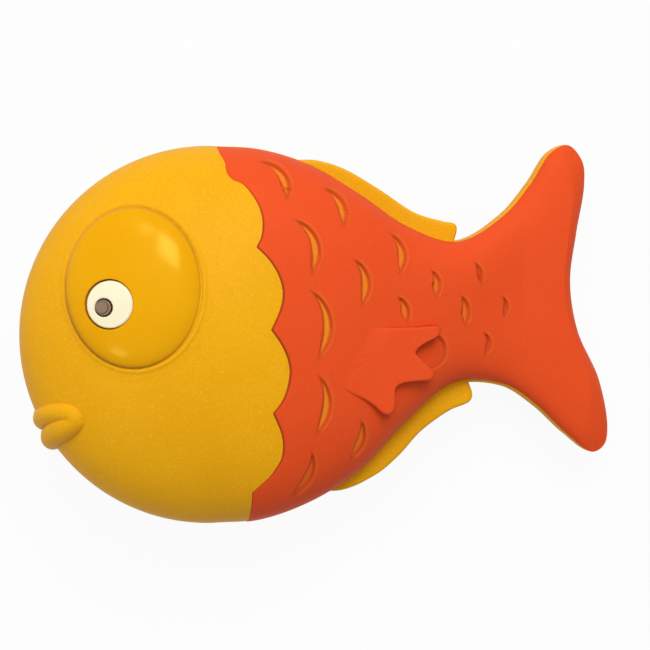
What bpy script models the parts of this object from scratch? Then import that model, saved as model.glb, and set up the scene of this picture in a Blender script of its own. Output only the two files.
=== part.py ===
"""Fish rattle lying on its side: two welded shells under soft scale skins, turning eyes and loose beads."""

import math

import bmesh
import bpy
import numpy as np
from mathutils import Matrix, Vector
from mathutils.bvhtree import BVHTree

for old in list(bpy.data.objects):
    bpy.data.objects.remove(old, do_unlink=True)

MM = 0.001

# Body: a round head that tapers to a flat forked tail, sizes in metres
HEAD_RADIUS = 0.0445
HEAD_X = -0.02466
HEAD_HALF_THICKNESS = 0.0220
TAIL_HALF_THICKNESS = 0.0056
TAPER_END_X = 0.050
TAPER_POWER = 1.3
HEAD_SQUARENESS = 2.0
TAIL_SQUARENESS = 3.6

# Shell and skin thicknesses, and the gaps between the pieces
SEAM = 0.0003
GAP = 0.0003
CORE_WALL = 0.0016
SKIN = 0.0015
SKIN_PROUD = 0.0005
SKIN_LEDGE = 0.00045
RIM_BAND = 0.0024
EDGE_FIN_HALF = 0.0020

# Eye: oval dome, white eyeball that turns in it square to its surface, dark pupil beside its middle
DOME_FROM_NOSE = 0.0260
DOME_Y = 0.0117
DOME_HALF_LENGTH = 0.0150
DOME_HALF_HEIGHT = 0.0180
DOME_RISE = 0.0040
DOME_SINK = 0.0011
DOME_LEAN_X = 0.18
DOME_LEAN_Y = -0.12
DOME_WALL = 0.0020
SOCKET_WALL = 0.0020
SOCKET_LIP = 0.0020
SOCKET_DEPTH = 0.0105
KEEPER = 0.0020
KEEPER_SLEEVE = 0.0015
EYE_OUT_X = -0.0056
EYE_OUT_Y = -0.0037
EYE_RADIUS = 0.0053
EYE_RECESS = 0.0008
EYE_CROWN = 0.0004
EYE_DEPTH = 0.0036
EYE_FLANGE = 0.0020
EYE_FLANGE_LIP = 0.0013
EYE_STEM_RADIUS = 0.0024
EYE_STEM = 0.0060
PUPIL_RADIUS = 0.0019
PUPIL_OUT_X = -0.0013
PUPIL_OUT_Y = -0.0007
PUPIL_PROUD = 0.0009
PUPIL_DEPTH = 0.0030
RUNNING_GAP = 0.0003

# Pectoral fin, a flat star raised from the skin and sloping with the body
FIN_FRONT_Z = 0.0185
FIN_ROOT_Z = 0.0040
FIN_SLOPE = -0.12

# Inside: weld posts with pins, a bulkhead and the beads
POST_RADIUS = 0.0032
PIN_RADIUS = 0.0015
PIN_LENGTH = 0.0030
BULKHEAD_X = 0.0245
BULKHEAD = 0.0016
BEAD_RADIUS = 0.0032
BEAD_PITCH = 0.0074
BEADS_X = -0.0060
BEADS_Y = -0.0020

# Lying at rest on the right cheek and the tip of the right pectoral fin, tail down
REST_ROLL = math.radians(-1.9)
REST_PITCH = math.radians(9.0)
REST_X = -0.00128
REST_Y = -0.00035
REST_LIFT = 0.0197

# Mesh fineness
HEAD_STATIONS = 8
RIB_STEPS = 2
ACROSS = 11
ROUND = 18

# Outlines in millimetres, from the middle of the fish: head to the left, back up
BACK = [(-13.0, 43.7), (-1.0, 40.1), (10.6, 33.4), (21.9, 25.9), (34.0, 22.3), (45.0, 28.5), (51.5, 36.1),
        (56.5, 43.4), (60.9, 45.2)]
BELLY = [(-13.1, -43.6), (-1.0, -39.5), (10.6, -32.5), (21.3, -22.1), (33.6, -12.4), (45.5, -12.8), (53.3, -17.6),
         (60.7, -24.3), (67.3, -28.8)]
REAR = [(67.3, -28.8), (70.7, -27.1), (71.6, -22.8), (69.1, -11.1), (63.6, 0.6), (61.7, 12.2), (63.1, 23.8),
        (65.0, 35.4), (64.5, 41.2), (60.9, 45.2)]
SCALLOPS = [[(-24.6, 50.0), (-24.1, 43.3), (-22.2, 37.6), (-21.7, 36.9)],
            [(-21.7, 36.9), (-18.6, 35.1), (-15.1, 30.2), (-14.3, 25.4), (-15.8, 20.8)],
            [(-15.8, 20.8), (-12.0, 16.6), (-10.0, 11.8), (-10.5, 6.7), (-12.6, 2.1)],
            [(-12.6, 2.1), (-9.7, -2.3), (-8.3, -7.2), (-9.1, -12.1), (-12.1, -16.9)],
            [(-12.1, -16.9), (-10.0, -21.9), (-9.9, -27.6), (-12.5, -32.0), (-16.4, -35.8)],
            [(-16.4, -35.8), (-16.6, -40.9), (-16.9, -43.2), (-17.4, -50.0)]]
BACK_FIN = [(-8.0, 40.8), (-4.2, 41.2), (0.5, 41.1), (6.9, 39.2), (15.5, 34.3), (24.1, 28.8), (30.9, 26.8),
            (33.7, 26.2), (34.2, 25.2), (33.4, 21.5)]
BACK_FIN_ROOT = [(24.3, 21.0), (10.1, 29.0), (-4.0, 36.9)]
BELLY_FIN = [(2.0, -37.2), (5.8, -37.2), (9.5, -36.2), (13.2, -34.4), (16.3, -32.5), (20.6, -28.7), (25.7, -23.2),
             (32.6, -18.4), (37.4, -16.3), (38.1, -14.8), (36.7, -10.4)]
BELLY_FIN_ROOT = [(28.5, -11.3), (18.2, -20.3), (5.0, -32.0)]
PECTORAL_FIN = [(4.9, 2.8), (10.7, 3.8), (27.1, 2.7), (27.6, 1.1), (21.7, -3.4), (26.2, -8.6), (25.2, -10.2),
                (17.0, -11.4), (16.4, -17.4), (14.7, -17.9), (6.4, -13.0), (2.7, -10.3)]
SCALE_WINDOWS = [((-13.3, 40.3), (-7.2, 36.1), (-8.2, 31.7)), ((1.0, 34.1), (6.2, 28.8), (4.9, 25.5)),
                 ((-6.6, 26.9), (-0.7, 20.5), (-3.0, 14.6)), ((7.1, 17.9), (11.1, 12.0), (8.9, 7.4)),
                 ((16.6, 23.7), (20.2, 18.9), (18.2, 14.7)), ((26.1, 15.3), (28.5, 12.6), (27.2, 8.8)),
                 ((17.7, 9.2), (20.6, 6.1), (19.9, 4.4)), ((33.5, 9.3), (35.8, 5.9), (34.8, 2.6)),
                 ((-3.2, 10.8), (1.9, 3.0), (-1.4, -4.4)), ((-1.4, -8.5), (1.8, -15.8), (-1.6, -22.0)),
                 ((8.9, -19.1), (10.3, -22.0), (7.0, -28.4)), ((37.1, 16.9), (38.9, 14.5), (38.9, 12.3)),
                 ((44.0, 8.8), (45.6, 6.5), (44.5, 4.3))]
WINDOW_WIDTH = 0.0015
LIPS = [((-49.5, -18.7), (16.6, 3.2, 14.6)), ((-49.0, -23.9), (16.0, 2.9, 13.6))]
POSTS = [(-8.0, 33.5), (-8.0, -33.5), (31.0, 5.0), (-58.5, -10.5)]
BEAD_GRID = [(0, 0), (1, 0), (0.5, 0.87), (-0.5, 0.87), (-1, 0), (-0.5, -0.87), (0.5, -0.87), (1.5, 0.87)]


def collection(name):
    made = bpy.data.collections.new(name)
    bpy.context.scene.collection.children.link(made)
    return made


FISH = collection("fish_rattle")
CUTTERS = collection("cutters")
LYING = bpy.data.objects.new("fish_at_rest", None)
LYING.rotation_euler = (REST_ROLL, REST_PITCH, 0)
LYING.location = (REST_X, REST_Y, REST_LIFT)
FISH.objects.link(LYING)


def plastic(name, colour, roughness):
    made = bpy.data.materials.new(name)
    made.use_nodes = True
    shader = made.node_tree.nodes["Principled BSDF"]
    shader.inputs["Base Color"].default_value = (*colour, 1)
    shader.inputs["Roughness"].default_value = roughness
    shader.inputs["Metallic"].default_value = 0
    return made


YELLOW = plastic("yellow_shell_plastic", (0.86, 0.41, 0.012), 0.45)
ORANGE = plastic("orange_soft_skin", (0.78, 0.078, 0.016), 0.5)
GLOSS = plastic("polished_yellow", (0.86, 0.40, 0.008), 0.12)
WHITE = plastic("cream_white", (0.93, 0.88, 0.66), 0.2)
DARK = plastic("brown_grey", (0.09, 0.065, 0.05), 0.25)
NATURAL = plastic("milky_plastic", (0.72, 0.70, 0.62), 0.4)
BEAD = plastic("bead_plastic", (0.30, 0.42, 0.60), 0.35)


def body(name, points, faces, material=None, smooth=True):
    """One mesh object from its corners and faces; a body with no material is a cutter."""
    mesh = bpy.data.meshes.new(name)
    mesh.from_pydata([tuple(p) for p in points], [], faces)
    work = bmesh.new()
    work.from_mesh(mesh)
    bmesh.ops.remove_doubles(work, verts=work.verts, dist=1e-7)
    bmesh.ops.recalc_face_normals(work, faces=work.faces)
    if work.calc_volume(signed=True) < 0:
        bmesh.ops.reverse_faces(work, faces=work.faces)
    if smooth:
        bmesh.ops.triangulate(work, faces=work.faces)
    work.to_mesh(mesh)
    work.free()
    return placed(bpy.data.objects.new(name, mesh), material, smooth)


def placed(made, material, smooth=True):
    made.parent = LYING
    if material is None:
        CUTTERS.objects.link(made)
        made.hide_render = True
        made.display_type = "WIRE"
        return made
    FISH.objects.link(made)
    made.data.materials.append(material)
    if smooth:
        made.data.shade_smooth()
    return made


def combine(target, tool, operation):
    step = target.modifiers.new(operation.lower(), "BOOLEAN")
    step.operation = operation
    step.solver = "EXACT"
    step.object = tool


def cut(target, tool):
    combine(target, tool, "DIFFERENCE")


def join(target, tool):
    combine(target, tool, "UNION")


def keep(target, tool):
    combine(target, tool, "INTERSECT")


def through(points, steps):
    """Smooth curve through the points: cubic pieces whose slopes come from the neighbours."""
    p = np.asarray(points, float)
    t = np.append(0, np.cumsum(np.sqrt(np.linalg.norm(np.diff(p, axis=0), axis=1))))
    slope = np.gradient(p, t, axis=0)
    u = np.linspace(0, 1, steps, endpoint=False)[:, None]
    pieces = []
    for i, h in enumerate(np.diff(t)):
        pieces.append((2 * u**3 - 3 * u**2 + 1) * p[i] + (u**3 - 2 * u**2 + u) * h * slope[i]
                      + (3 * u**2 - 2 * u**3) * p[i + 1] + (u**3 - u**2) * h * slope[i + 1])
    return np.vstack(pieces + [p[-1:]])


def moved_in(curve, inset):
    """The clockwise curve moved inwards by the inset, square to itself."""
    along = np.gradient(curve, axis=0)
    along /= np.linalg.norm(along, axis=1)[:, None]
    return curve - inset * np.stack([-along[:, 1], along[:, 0]], axis=1)


def outlines(inset):
    """Back and belly lines, rib by rib from the nose, and the rear edge from the lower tip to the upper."""
    turn = np.linspace(math.pi, math.pi / 2, HEAD_STATIONS, endpoint=False)
    radius = HEAD_RADIUS - inset
    head = np.stack([HEAD_X + radius * np.cos(turn), radius * np.sin(turn)], axis=1)
    crown = [(HEAD_X / MM, HEAD_RADIUS / MM)]
    chin = [(HEAD_X / MM, -HEAD_RADIUS / MM)]
    whole = through(np.array(crown + BACK + REAR[-2:0:-1] + BELLY[::-1] + chin) * MM, RIB_STEPS)
    whole = moved_in(whole, inset)
    upper_tip = RIB_STEPS * len(BACK)
    lower_tip = upper_tip + RIB_STEPS * (len(REAR) - 1)
    back = np.vstack([head, whole[:upper_tip + 1]])
    belly = np.vstack([head * [1, -1], whole[:lower_tip - 1:-1]])
    return back, belly, whole[lower_tip:upper_tip - 1:-1]


def half_loft(inset, rise, foot, tail=True):
    """Closed half of the body above z = foot, moved in by the inset and up by the rise.

    Each rib is a superellipse from the belly line to the back line, and the last one is the rear edge.
    Without the tail it stops short of the fork.
    """
    back, belly, rear = outlines(inset)
    if not tail:
        last = HEAD_STATIONS + 6 * RIB_STEPS
        back, belly = back[:last + 1], belly[:last + 1]
    count = len(back)
    lift = np.sin(np.linspace(-math.pi / 2, math.pi / 2, ACROSS + 1))
    share = (lift + 1) / 2
    flat = belly[:, None] * (1 - share)[:, None] + back[:, None] * share[:, None]
    if tail:
        run = np.append(0, np.cumsum(np.linalg.norm(np.diff(rear, axis=0), axis=1)))
        edge = np.stack([np.interp(share * run[-1], run, rear[:, k]) for k in (0, 1)], axis=1)
        nearing = np.clip((np.arange(count) - (count - 1 - 4 * RIB_STEPS)) / (4 * RIB_STEPS), 0, 1)
        pull = nearing[:, None] ** (1.5 + 14 * np.abs(lift)[None] ** 6)
        flat += pull[:, :, None] * (edge - flat[-1])
    middle = flat.mean(axis=1)[:, 0]
    fall = np.clip((middle - HEAD_X) / (TAPER_END_X - HEAD_X), 0, 1)
    taper = np.cos(fall * math.pi / 2) ** TAPER_POWER
    thick = TAIL_HALF_THICKNESS + (HEAD_HALF_THICKNESS - TAIL_HALF_THICKNESS) * taper + rise
    before = np.arange(count) < HEAD_STATIONS
    thick[before] = (HEAD_HALF_THICKNESS + rise) * np.sin(np.linspace(0, math.pi / 2, HEAD_STATIONS, endpoint=False))
    power = HEAD_SQUARENESS + (TAIL_SQUARENESS - HEAD_SQUARENESS) * fall
    ending = np.clip((np.arange(count) - (count - 3)) / 2, 0, 1)
    thick *= (1 - ending**2.5) ** 0.4
    high = thick[:, None] * (1 - np.abs(lift)[None] ** power[:, None]) ** (1 / power[:, None])
    high[:, [0, -1]] = foot
    high[-1] = foot
    high[0] = foot
    grid = np.arange(count * (ACROSS + 1)).reshape(count, ACROSS + 1)
    upper = np.dstack([flat, high]).reshape(-1, 3)
    lower = np.dstack([flat, np.full(high.shape, foot)]).reshape(-1, 3)
    faces = []
    for under in (0, len(upper)):
        for i in range(count - 1):
            for j in range(ACROSS):
                a, b, c, d = grid[i, j], grid[i + 1, j], grid[i + 1, j + 1], grid[i, j + 1]
                halves = [(a, b, d), (b, c, d)] if j < ACROSS / 2 else [(a, b, c), (a, c, d)]
                if i == 0:
                    halves = [(grid[0, 0], b, c)]
                faces += [[int(k) + under for k in half] for half in halves]
    return np.vstack([upper, lower]), faces


def prism(name, outline, low, high, side, material=None):
    """Straight solid on an outline: one flat face on the outline, extruded to its height."""
    work = bmesh.new()
    floor = work.faces.new([work.verts.new((x, y, side * low)) for x, y in outline])
    raised = bmesh.ops.extrude_face_region(work, geom=[floor], use_keep_orig=True)["geom"]
    lifted = [part for part in raised if isinstance(part, bmesh.types.BMVert)]
    bmesh.ops.translate(work, verts=lifted, vec=(0, 0, side * (high - low)))
    bmesh.ops.recalc_face_normals(work, faces=work.faces)
    mesh = bpy.data.meshes.new(name)
    work.to_mesh(mesh)
    work.free()
    return placed(bpy.data.objects.new(name, mesh), material, smooth=False)


def stacked(name, rings, side, material=None):
    """Closed solid through a stack of rings, each end closed to its middle."""
    n = len(rings[0])
    points = np.vstack([np.vstack(rings), rings[0].mean(axis=0), rings[-1].mean(axis=0)])
    faces = []
    for i in range(n):
        k = (i + 1) % n
        for r in range(len(rings) - 1):
            faces.append([r * n + i, r * n + k, (r + 1) * n + k, (r + 1) * n + i])
        faces.append([i, k, len(rings) * n])
        faces.append([(len(rings) - 1) * n + i, (len(rings) - 1) * n + k, len(rings) * n + 1])
    return body(name, points * (1, 1, side), faces, material)


def oval(across, upright, grow=0.0, share=1.0):
    turn = np.linspace(0, 2 * math.pi, ROUND + 8, endpoint=False)
    return np.stack([DOME_X + (across + grow) * share * np.cos(turn),
                     DOME_Y + (upright + grow) * share * np.sin(turn)], axis=1)


def circle(x, y, radius, count=ROUND):
    turn = np.linspace(0, 2 * math.pi, count, endpoint=False)
    return np.stack([x + radius * np.cos(turn), y + radius * np.sin(turn)], axis=1)


def drum(name, x, y, radius, low, high, side, count=ROUND):
    """Upright round cutter or boss between two heights, with a corner on the +X side."""
    spot = Matrix.Translation((x, y, side * (low + high) / 2)) @ Matrix.Rotation(math.pi / 2, 4, "Z")
    work = bmesh.new()
    bmesh.ops.create_cone(work, cap_ends=True, segments=count, radius1=radius, radius2=radius,
                          depth=high - low, matrix=spot)
    mesh = bpy.data.meshes.new(name)
    work.to_mesh(mesh)
    work.free()
    return placed(bpy.data.objects.new(name, mesh), None)


def lathe(name, profile, side, material):
    """Turned solid on its own upright axis."""
    mesh = bpy.data.meshes.new(name)
    steps = [(r, 0, z * side) for r, z in profile]
    mesh.from_pydata(steps[::side], [(i, i + 1) for i in range(len(steps) - 1)], [])
    made = placed(bpy.data.objects.new(name, mesh), material)
    turned = made.modifiers.new("turn", "SCREW")
    turned.axis = "Z"
    turned.steps = ROUND
    turned.render_steps = ROUND
    turned.use_merge_vertices = True
    turned.merge_threshold = 1e-5
    return made


def cheek(flat):
    away = (flat[:, 0] - HEAD_X) ** 2 + flat[:, 1] ** 2
    return HEAD_HALF_THICKNESS * np.sqrt(1 - away / HEAD_RADIUS**2)


def dome_top(flat):
    """Dome surface: a leaning plane through the cheek, raised to a bulge in the middle."""
    dx = flat[:, 0] - DOME_X
    dy = flat[:, 1] - DOME_Y
    base = cheek(np.array([[DOME_X, DOME_Y]]))[0] - DOME_SINK
    out = np.clip((dx / DOME_HALF_LENGTH) ** 2 + (dy / DOME_HALF_HEIGHT) ** 2, 0, 1)
    return base + DOME_LEAN_X * dx + DOME_LEAN_Y * dy + DOME_RISE * (1 - out) ** 0.6


def half_body(name, inset, rise, foot, side, material=None, tail=True):
    points, faces = half_loft(inset, rise, foot, tail)
    return body(name, points * (1, 1, side), faces, material)


def fin_outline(edge, root):
    return np.vstack([through(edge, 2), root]) * MM


def window(ends):
    """Crescent between two arcs from tip to tip, the outer one through the bulge."""
    tip, bulge, tail = (np.array(p) * MM for p in ends)
    chord = (tail - tip) / np.linalg.norm(tail - tip)
    square = np.array([-chord[1], chord[0]])
    outer = through([tip, bulge, tail], 4)
    inner = through([tip, bulge - WINDOW_WIDTH * square, tail], 4)
    return np.vstack([outer, inner[-2:0:-1]])


TALL = 0.060
DOME_X = HEAD_X - HEAD_RADIUS + DOME_FROM_NOSE
EYE_X = DOME_X + EYE_OUT_X
EYE_Y = DOME_Y + EYE_OUT_Y
SKIN_IN = SKIN_LEDGE + SKIN
CORE_IN = SKIN_IN + GAP
CORE_RISE = SKIN_PROUD - SKIN - GAP
HOLLOW_IN = CORE_IN + CORE_WALL
HOLLOW_RISE = CORE_RISE - CORE_WALL
SOCKET_FLOOR_Z = cheek(np.array([[DOME_X, DOME_Y]]))[0] - SOCKET_DEPTH
SOCKET_TOP_Z = SOCKET_FLOOR_Z + SOCKET_LIP
KEEPER_Z = SOCKET_TOP_Z + GAP
EYE_BORE = EYE_RADIUS + RUNNING_GAP
BOSS_RADIUS = EYE_RADIUS + EYE_FLANGE_LIP

# Heights along the eye's own axis, from the dome surface at its middle
EYE_RIM_W = -EYE_RECESS - EYE_CROWN
FLANGE_TOP_W = -EYE_DEPTH
FLANGE_W = FLANGE_TOP_W - EYE_FLANGE
BOSS_W = FLANGE_TOP_W + RUNNING_GAP
SLEEVE_W = FLANGE_W - RUNNING_GAP
STEM_END_W = FLANGE_W - EYE_STEM


def eye_axis():
    """Middle of the eye on the dome surface, and the turn that stands its axis square to the dome."""
    step = EYE_RADIUS
    around = np.array([(EYE_X, EYE_Y), (EYE_X + step, EYE_Y), (EYE_X - step, EYE_Y), (EYE_X, EYE_Y + step),
                       (EYE_X, EYE_Y - step)])
    z = dome_top(around)
    slope_x = (z[1] - z[2]) / (2 * step)
    slope_y = (z[3] - z[4]) / (2 * step)
    steep = math.sqrt(1 + slope_x**2 + slope_y**2)
    return (EYE_X, EYE_Y, z[0]), (math.asin(slope_y / steep), math.atan(-slope_x), 0)


EYE_MIDDLE, EYE_TURN = eye_axis()


def set_on_eye(made, side):
    x, y, z = EYE_MIDDLE
    made.location = (x, y, z * side)
    made.rotation_euler = [angle * side for angle in EYE_TURN]
    return made


def eye_drum(name, radius, low, high, side, x=0.0, y=0.0):
    """Cutter or boss along the eye's axis, between two heights on it."""
    return set_on_eye(drum(name, x, y, radius, low, high, side), side)


def rear_region(shift):
    """Plan of everything behind the scalloped edge, moved back by the shift."""
    edge = np.vstack([through(arc, 2)[:-1] for arc in SCALLOPS] + [SCALLOPS[-1][-1:]]) * MM
    box = np.array([(0.09, -0.06), (0.09, 0.06)])
    return np.vstack([edge + (shift, 0), box])


def shell(name, side):
    made = half_body(name, 0, 0, SEAM / 2, side, YELLOW)
    for k, (middle, half) in enumerate(LIPS):
        lip = stacked(f"{name}_lip_{k + 1}", lip_rings(middle, half), side)
        join(made, lip)
    for word, edge, root in (("back", BACK_FIN, BACK_FIN_ROOT), ("belly", BELLY_FIN, BELLY_FIN_ROOT)):
        join(made, prism(f"{name}_{word}_fin", fin_outline(edge, root), SEAM / 2, EDGE_FIN_HALF, side))
    pocket = prism(f"{name}_skin_pocket", rear_region(0), RIM_BAND, TALL, side)
    cut(pocket, half_body(f"{name}_core", CORE_IN, CORE_RISE, -0.001, side))
    cut(made, pocket)
    hollow = half_body(f"{name}_hollow", HOLLOW_IN, HOLLOW_RISE, -0.001, side, tail=False)
    cut(hollow, prism(f"{name}_socket", oval(DOME_HALF_LENGTH, DOME_HALF_HEIGHT, GAP + SOCKET_WALL),
                      SOCKET_FLOOR_Z, TALL, side))
    for k, (x, y) in enumerate(POSTS):
        cut(hollow, drum(f"{name}_post_{k + 1}", x * MM, y * MM, POST_RADIUS, -0.002, TALL, side, 16))
    rib = np.array([(BULKHEAD_X, -0.06), (BULKHEAD_X + BULKHEAD, -0.06), (BULKHEAD_X + BULKHEAD, 0.06),
                    (BULKHEAD_X, 0.06)])
    cut(hollow, prism(f"{name}_bulkhead", rib, -0.002, TALL, side))
    cut(made, hollow)
    cut(made, prism(f"{name}_dome_hole", oval(DOME_HALF_LENGTH, DOME_HALF_HEIGHT, GAP), SOCKET_TOP_Z, TALL, side))
    cut(made, prism(f"{name}_socket_hole", oval(DOME_HALF_LENGTH, DOME_HALF_HEIGHT, -DOME_WALL - SOCKET_LIP),
                    SOCKET_FLOOR_Z - 0.002, TALL, side))
    for k, (x, y) in enumerate(POSTS):
        if side > 0:
            join(made, drum(f"{name}_pin_{k + 1}", x * MM, y * MM, PIN_RADIUS, -PIN_LENGTH, 0.003, side, 12))
        else:
            cut(made, drum(f"{name}_pin_hole_{k + 1}", x * MM, y * MM, PIN_RADIUS + GAP, -0.002,
                           PIN_LENGTH + GAP, side, 12))
    return made


def lip_rings(middle, half):
    """Half of an ellipsoid standing on the seam, as rings from the seam up."""
    rings = []
    for angle in np.linspace(0, 1.45, 7):
        ring = circle(0, 0, math.cos(angle), 20) * (half[0] * MM, half[1] * MM)
        height = SEAM / 2 + half[2] * MM * math.sin(angle)
        rings.append(np.column_stack([ring + np.array(middle) * MM, np.full(len(ring), height)]))
    return rings


def skin(name, side):
    made = half_body(name, SKIN_LEDGE, SKIN_PROUD, 0, side, ORANGE)
    star = np.array(PECTORAL_FIN) * MM
    fin = prism(f"{name}_pectoral_fin", star, FIN_ROOT_Z, FIN_FRONT_Z, side)
    for corner in fin.data.vertices:
        if abs(corner.co.z) > (FIN_ROOT_Z + FIN_FRONT_Z) / 2:
            corner.co.z = side * (FIN_FRONT_Z + FIN_SLOPE * (corner.co.x - star[:, 0].min()))
    join(made, fin)
    keep(made, prism(f"{name}_region", rear_region(GAP), RIM_BAND + GAP, TALL, side))
    cut(made, half_body(f"{name}_inside", SKIN_IN, SKIN_PROUD - SKIN, -0.001, side))
    for k, ends in enumerate(SCALE_WINDOWS):
        cut(made, prism(f"{name}_window_{k + 1}", window(ends), 0.001, TALL, side))
    return made


def dome(name, side):
    def ring(share, grow, height):
        flat = oval(DOME_HALF_LENGTH, DOME_HALF_HEIGHT, grow, share)
        return np.column_stack([flat, height(flat)])

    def level(z):
        return lambda flat: np.full(len(flat), z)

    def under(flat):
        return dome_top(flat) - DOME_WALL

    made = stacked(name, [ring(s, 0, dome_top) for s in (0.1, 0.35, 0.6, 0.8, 0.92, 0.98, 1)]
                   + [ring(1, 0, level(KEEPER_Z))], side, GLOSS)
    inside = stacked(f"{name}_inside", [ring(s, -DOME_WALL, under) for s in (0.1, 0.4, 0.7, 0.9, 1)]
                     + [ring(1, -DOME_WALL, level(KEEPER_Z - 0.001))], side)
    cut(inside, eye_drum(f"{name}_boss", BOSS_RADIUS, BOSS_W, TALL, side))
    cut(made, inside)
    cut(made, eye_drum(f"{name}_eye_bore", EYE_BORE, BOSS_W - GAP, TALL, side))
    return made


def keeper(name, side):
    """Plate behind the dome, with a sleeve that carries the eye's stem."""
    plate = oval(DOME_HALF_LENGTH, DOME_HALF_HEIGHT, -DOME_WALL - GAP)
    made = prism(name, plate, KEEPER_Z, KEEPER_Z + KEEPER, side, NATURAL)
    stem_hole = EYE_STEM_RADIUS + RUNNING_GAP
    plate_w = KEEPER_Z + KEEPER / 2 - EYE_MIDDLE[2]
    join(made, eye_drum(f"{name}_sleeve", stem_hole + KEEPER_SLEEVE, plate_w, SLEEVE_W, side))
    cut(made, eye_drum(f"{name}_bore", stem_hole, plate_w - TALL, TALL, side))
    return made


def eyeball(name, side):
    lip = EYE_RADIUS + EYE_FLANGE_LIP
    profile = [(0, STEM_END_W), (EYE_STEM_RADIUS, STEM_END_W), (EYE_STEM_RADIUS, FLANGE_W), (lip, FLANGE_W),
               (lip, FLANGE_TOP_W), (EYE_RADIUS, FLANGE_TOP_W), (EYE_RADIUS, EYE_RIM_W),
               (EYE_RADIUS * 0.93, EYE_RIM_W + EYE_CROWN * 0.4), (EYE_RADIUS * 0.55, EYE_RIM_W + EYE_CROWN * 0.8),
               (0, EYE_RIM_W + EYE_CROWN)]
    made = lathe(name, profile, side, WHITE)
    hole = PUPIL_RADIUS + GAP / 2
    cut(made, eye_drum(f"{name}_pupil_hole", hole, EYE_RIM_W - PUPIL_DEPTH, TALL, side, PUPIL_OUT_X, PUPIL_OUT_Y))
    return set_on_eye(made, side)


def pupil(name, side):
    low = EYE_RIM_W - PUPIL_DEPTH + GAP
    high = EYE_RIM_W + EYE_CROWN + PUPIL_PROUD
    edge = 0.0004
    rings = []
    for radius, z in ((PUPIL_RADIUS, low), (PUPIL_RADIUS, high - edge), (PUPIL_RADIUS - edge, high)):
        flat = circle(PUPIL_OUT_X, PUPIL_OUT_Y, radius)
        rings.append(np.column_stack([flat, np.full(len(flat), z)]))
    return set_on_eye(stacked(name, rings, side, DARK), side)


def bead(name, x, y, ground):
    """Bead lying on the lower shell: its middle is where a surface one radius further in is met."""
    hit = ground.ray_cast(Vector((x, y, -TALL)), Vector((0, 0, 1)))[0]
    mesh = bpy.data.meshes.new(name)
    ball = bmesh.new()
    bmesh.ops.create_uvsphere(ball, u_segments=8, v_segments=6, radius=BEAD_RADIUS)
    ball.to_mesh(mesh)
    ball.free()
    made = placed(bpy.data.objects.new(name, mesh), BEAD)
    made.location = hit
    return made


for word, way in (("left", 1), ("right", -1)):
    shell(f"{word}_shell", way)
    skin(f"{word}_skin", way)
    dome(f"{word}_eye_dome", way)
    keeper(f"{word}_eye_keeper", way)
    eyeball(f"{word}_eyeball", way)
    pupil(f"{word}_pupil", way)

rest, rest_faces = half_loft(HOLLOW_IN + BEAD_RADIUS + GAP, HOLLOW_RISE - BEAD_RADIUS - GAP, 0, False)
ground_tree = BVHTree.FromPolygons([Vector(p) for p in rest * (1, 1, -1)], rest_faces)
for number, (column, row) in enumerate(BEAD_GRID):
    bead(f"rattle_bead_{number + 1}", BEADS_X + column * BEAD_PITCH, BEADS_Y + row * BEAD_PITCH, ground_tree)
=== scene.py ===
import math

import bpy
import numpy as np
from mathutils import Matrix, Vector


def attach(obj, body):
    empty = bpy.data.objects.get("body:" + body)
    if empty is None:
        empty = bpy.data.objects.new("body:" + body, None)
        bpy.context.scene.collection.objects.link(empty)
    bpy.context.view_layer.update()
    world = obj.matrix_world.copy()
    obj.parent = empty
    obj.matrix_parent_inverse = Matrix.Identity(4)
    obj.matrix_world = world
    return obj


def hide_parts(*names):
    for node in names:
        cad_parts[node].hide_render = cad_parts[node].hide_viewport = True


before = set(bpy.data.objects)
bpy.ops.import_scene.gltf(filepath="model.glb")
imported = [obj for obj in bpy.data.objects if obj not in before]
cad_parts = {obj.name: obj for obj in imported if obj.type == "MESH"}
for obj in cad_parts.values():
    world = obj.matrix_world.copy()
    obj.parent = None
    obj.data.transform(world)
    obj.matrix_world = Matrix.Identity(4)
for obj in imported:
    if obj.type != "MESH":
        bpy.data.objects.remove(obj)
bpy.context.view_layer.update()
print("frame loaded")

mm = 0.001

# How the fish lies: rolled about its length, then pitched tail down, then lifted
fishRest = {"roll": -1.9, "pitch": 9.0, "place": (-1.28, -0.35, 19.7)}


def restTurn():    # the roll first, then the pitch
    roll, pitch = math.radians(fishRest["roll"]), math.radians(fishRest["pitch"])
    aboutX = np.array([[1, 0, 0], [0, math.cos(roll), -math.sin(roll)], [0, math.sin(roll), math.cos(roll)]])
    aboutY = np.array([[math.cos(pitch), 0, math.sin(pitch)], [0, 1, 0], [-math.sin(pitch), 0, math.cos(pitch)]])
    return aboutY @ aboutX


fishTurn = restTurn()


def layDown(points):    # from the fish's millimetres to the scene's metres
    return (points @ fishTurn.T + np.array(fishRest["place"])) * mm


# Mesh tools: every piece is one or more closed bodies of triangles
def signedVolume(points, corners):    # a sixth of the triple product of each triangle, summed
    return np.einsum("ij,ij->i", points[corners[:, 0]],
                     np.cross(points[corners[:, 1]], points[corners[:, 2]])).sum() / 6


def halves(quads):    # each four-sided face as two triangles
    return np.vstack([quads[:, [0, 1, 3]], quads[:, [1, 2, 3]]])


def netFaces(rows, columns, wrapRows=False, wrapColumns=False):    # triangles between neighbours of a grid of points
    u = np.arange(rows if wrapRows else rows - 1)
    v = np.arange(columns if wrapColumns else columns - 1)
    u, v = [part.ravel() for part in np.meshgrid(u, v, indexing="ij")]
    nextU, nextV = (u + 1) % rows, (v + 1) % columns
    corners = [u * columns + v, nextU * columns + v, nextU * columns + nextV, u * columns + nextV]
    return halves(np.stack(corners, axis=1))


def ringBody(net):    # a net that closes both ways
    return net.reshape(-1, 3), netFaces(net.shape[0], net.shape[1], True, True)


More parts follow.
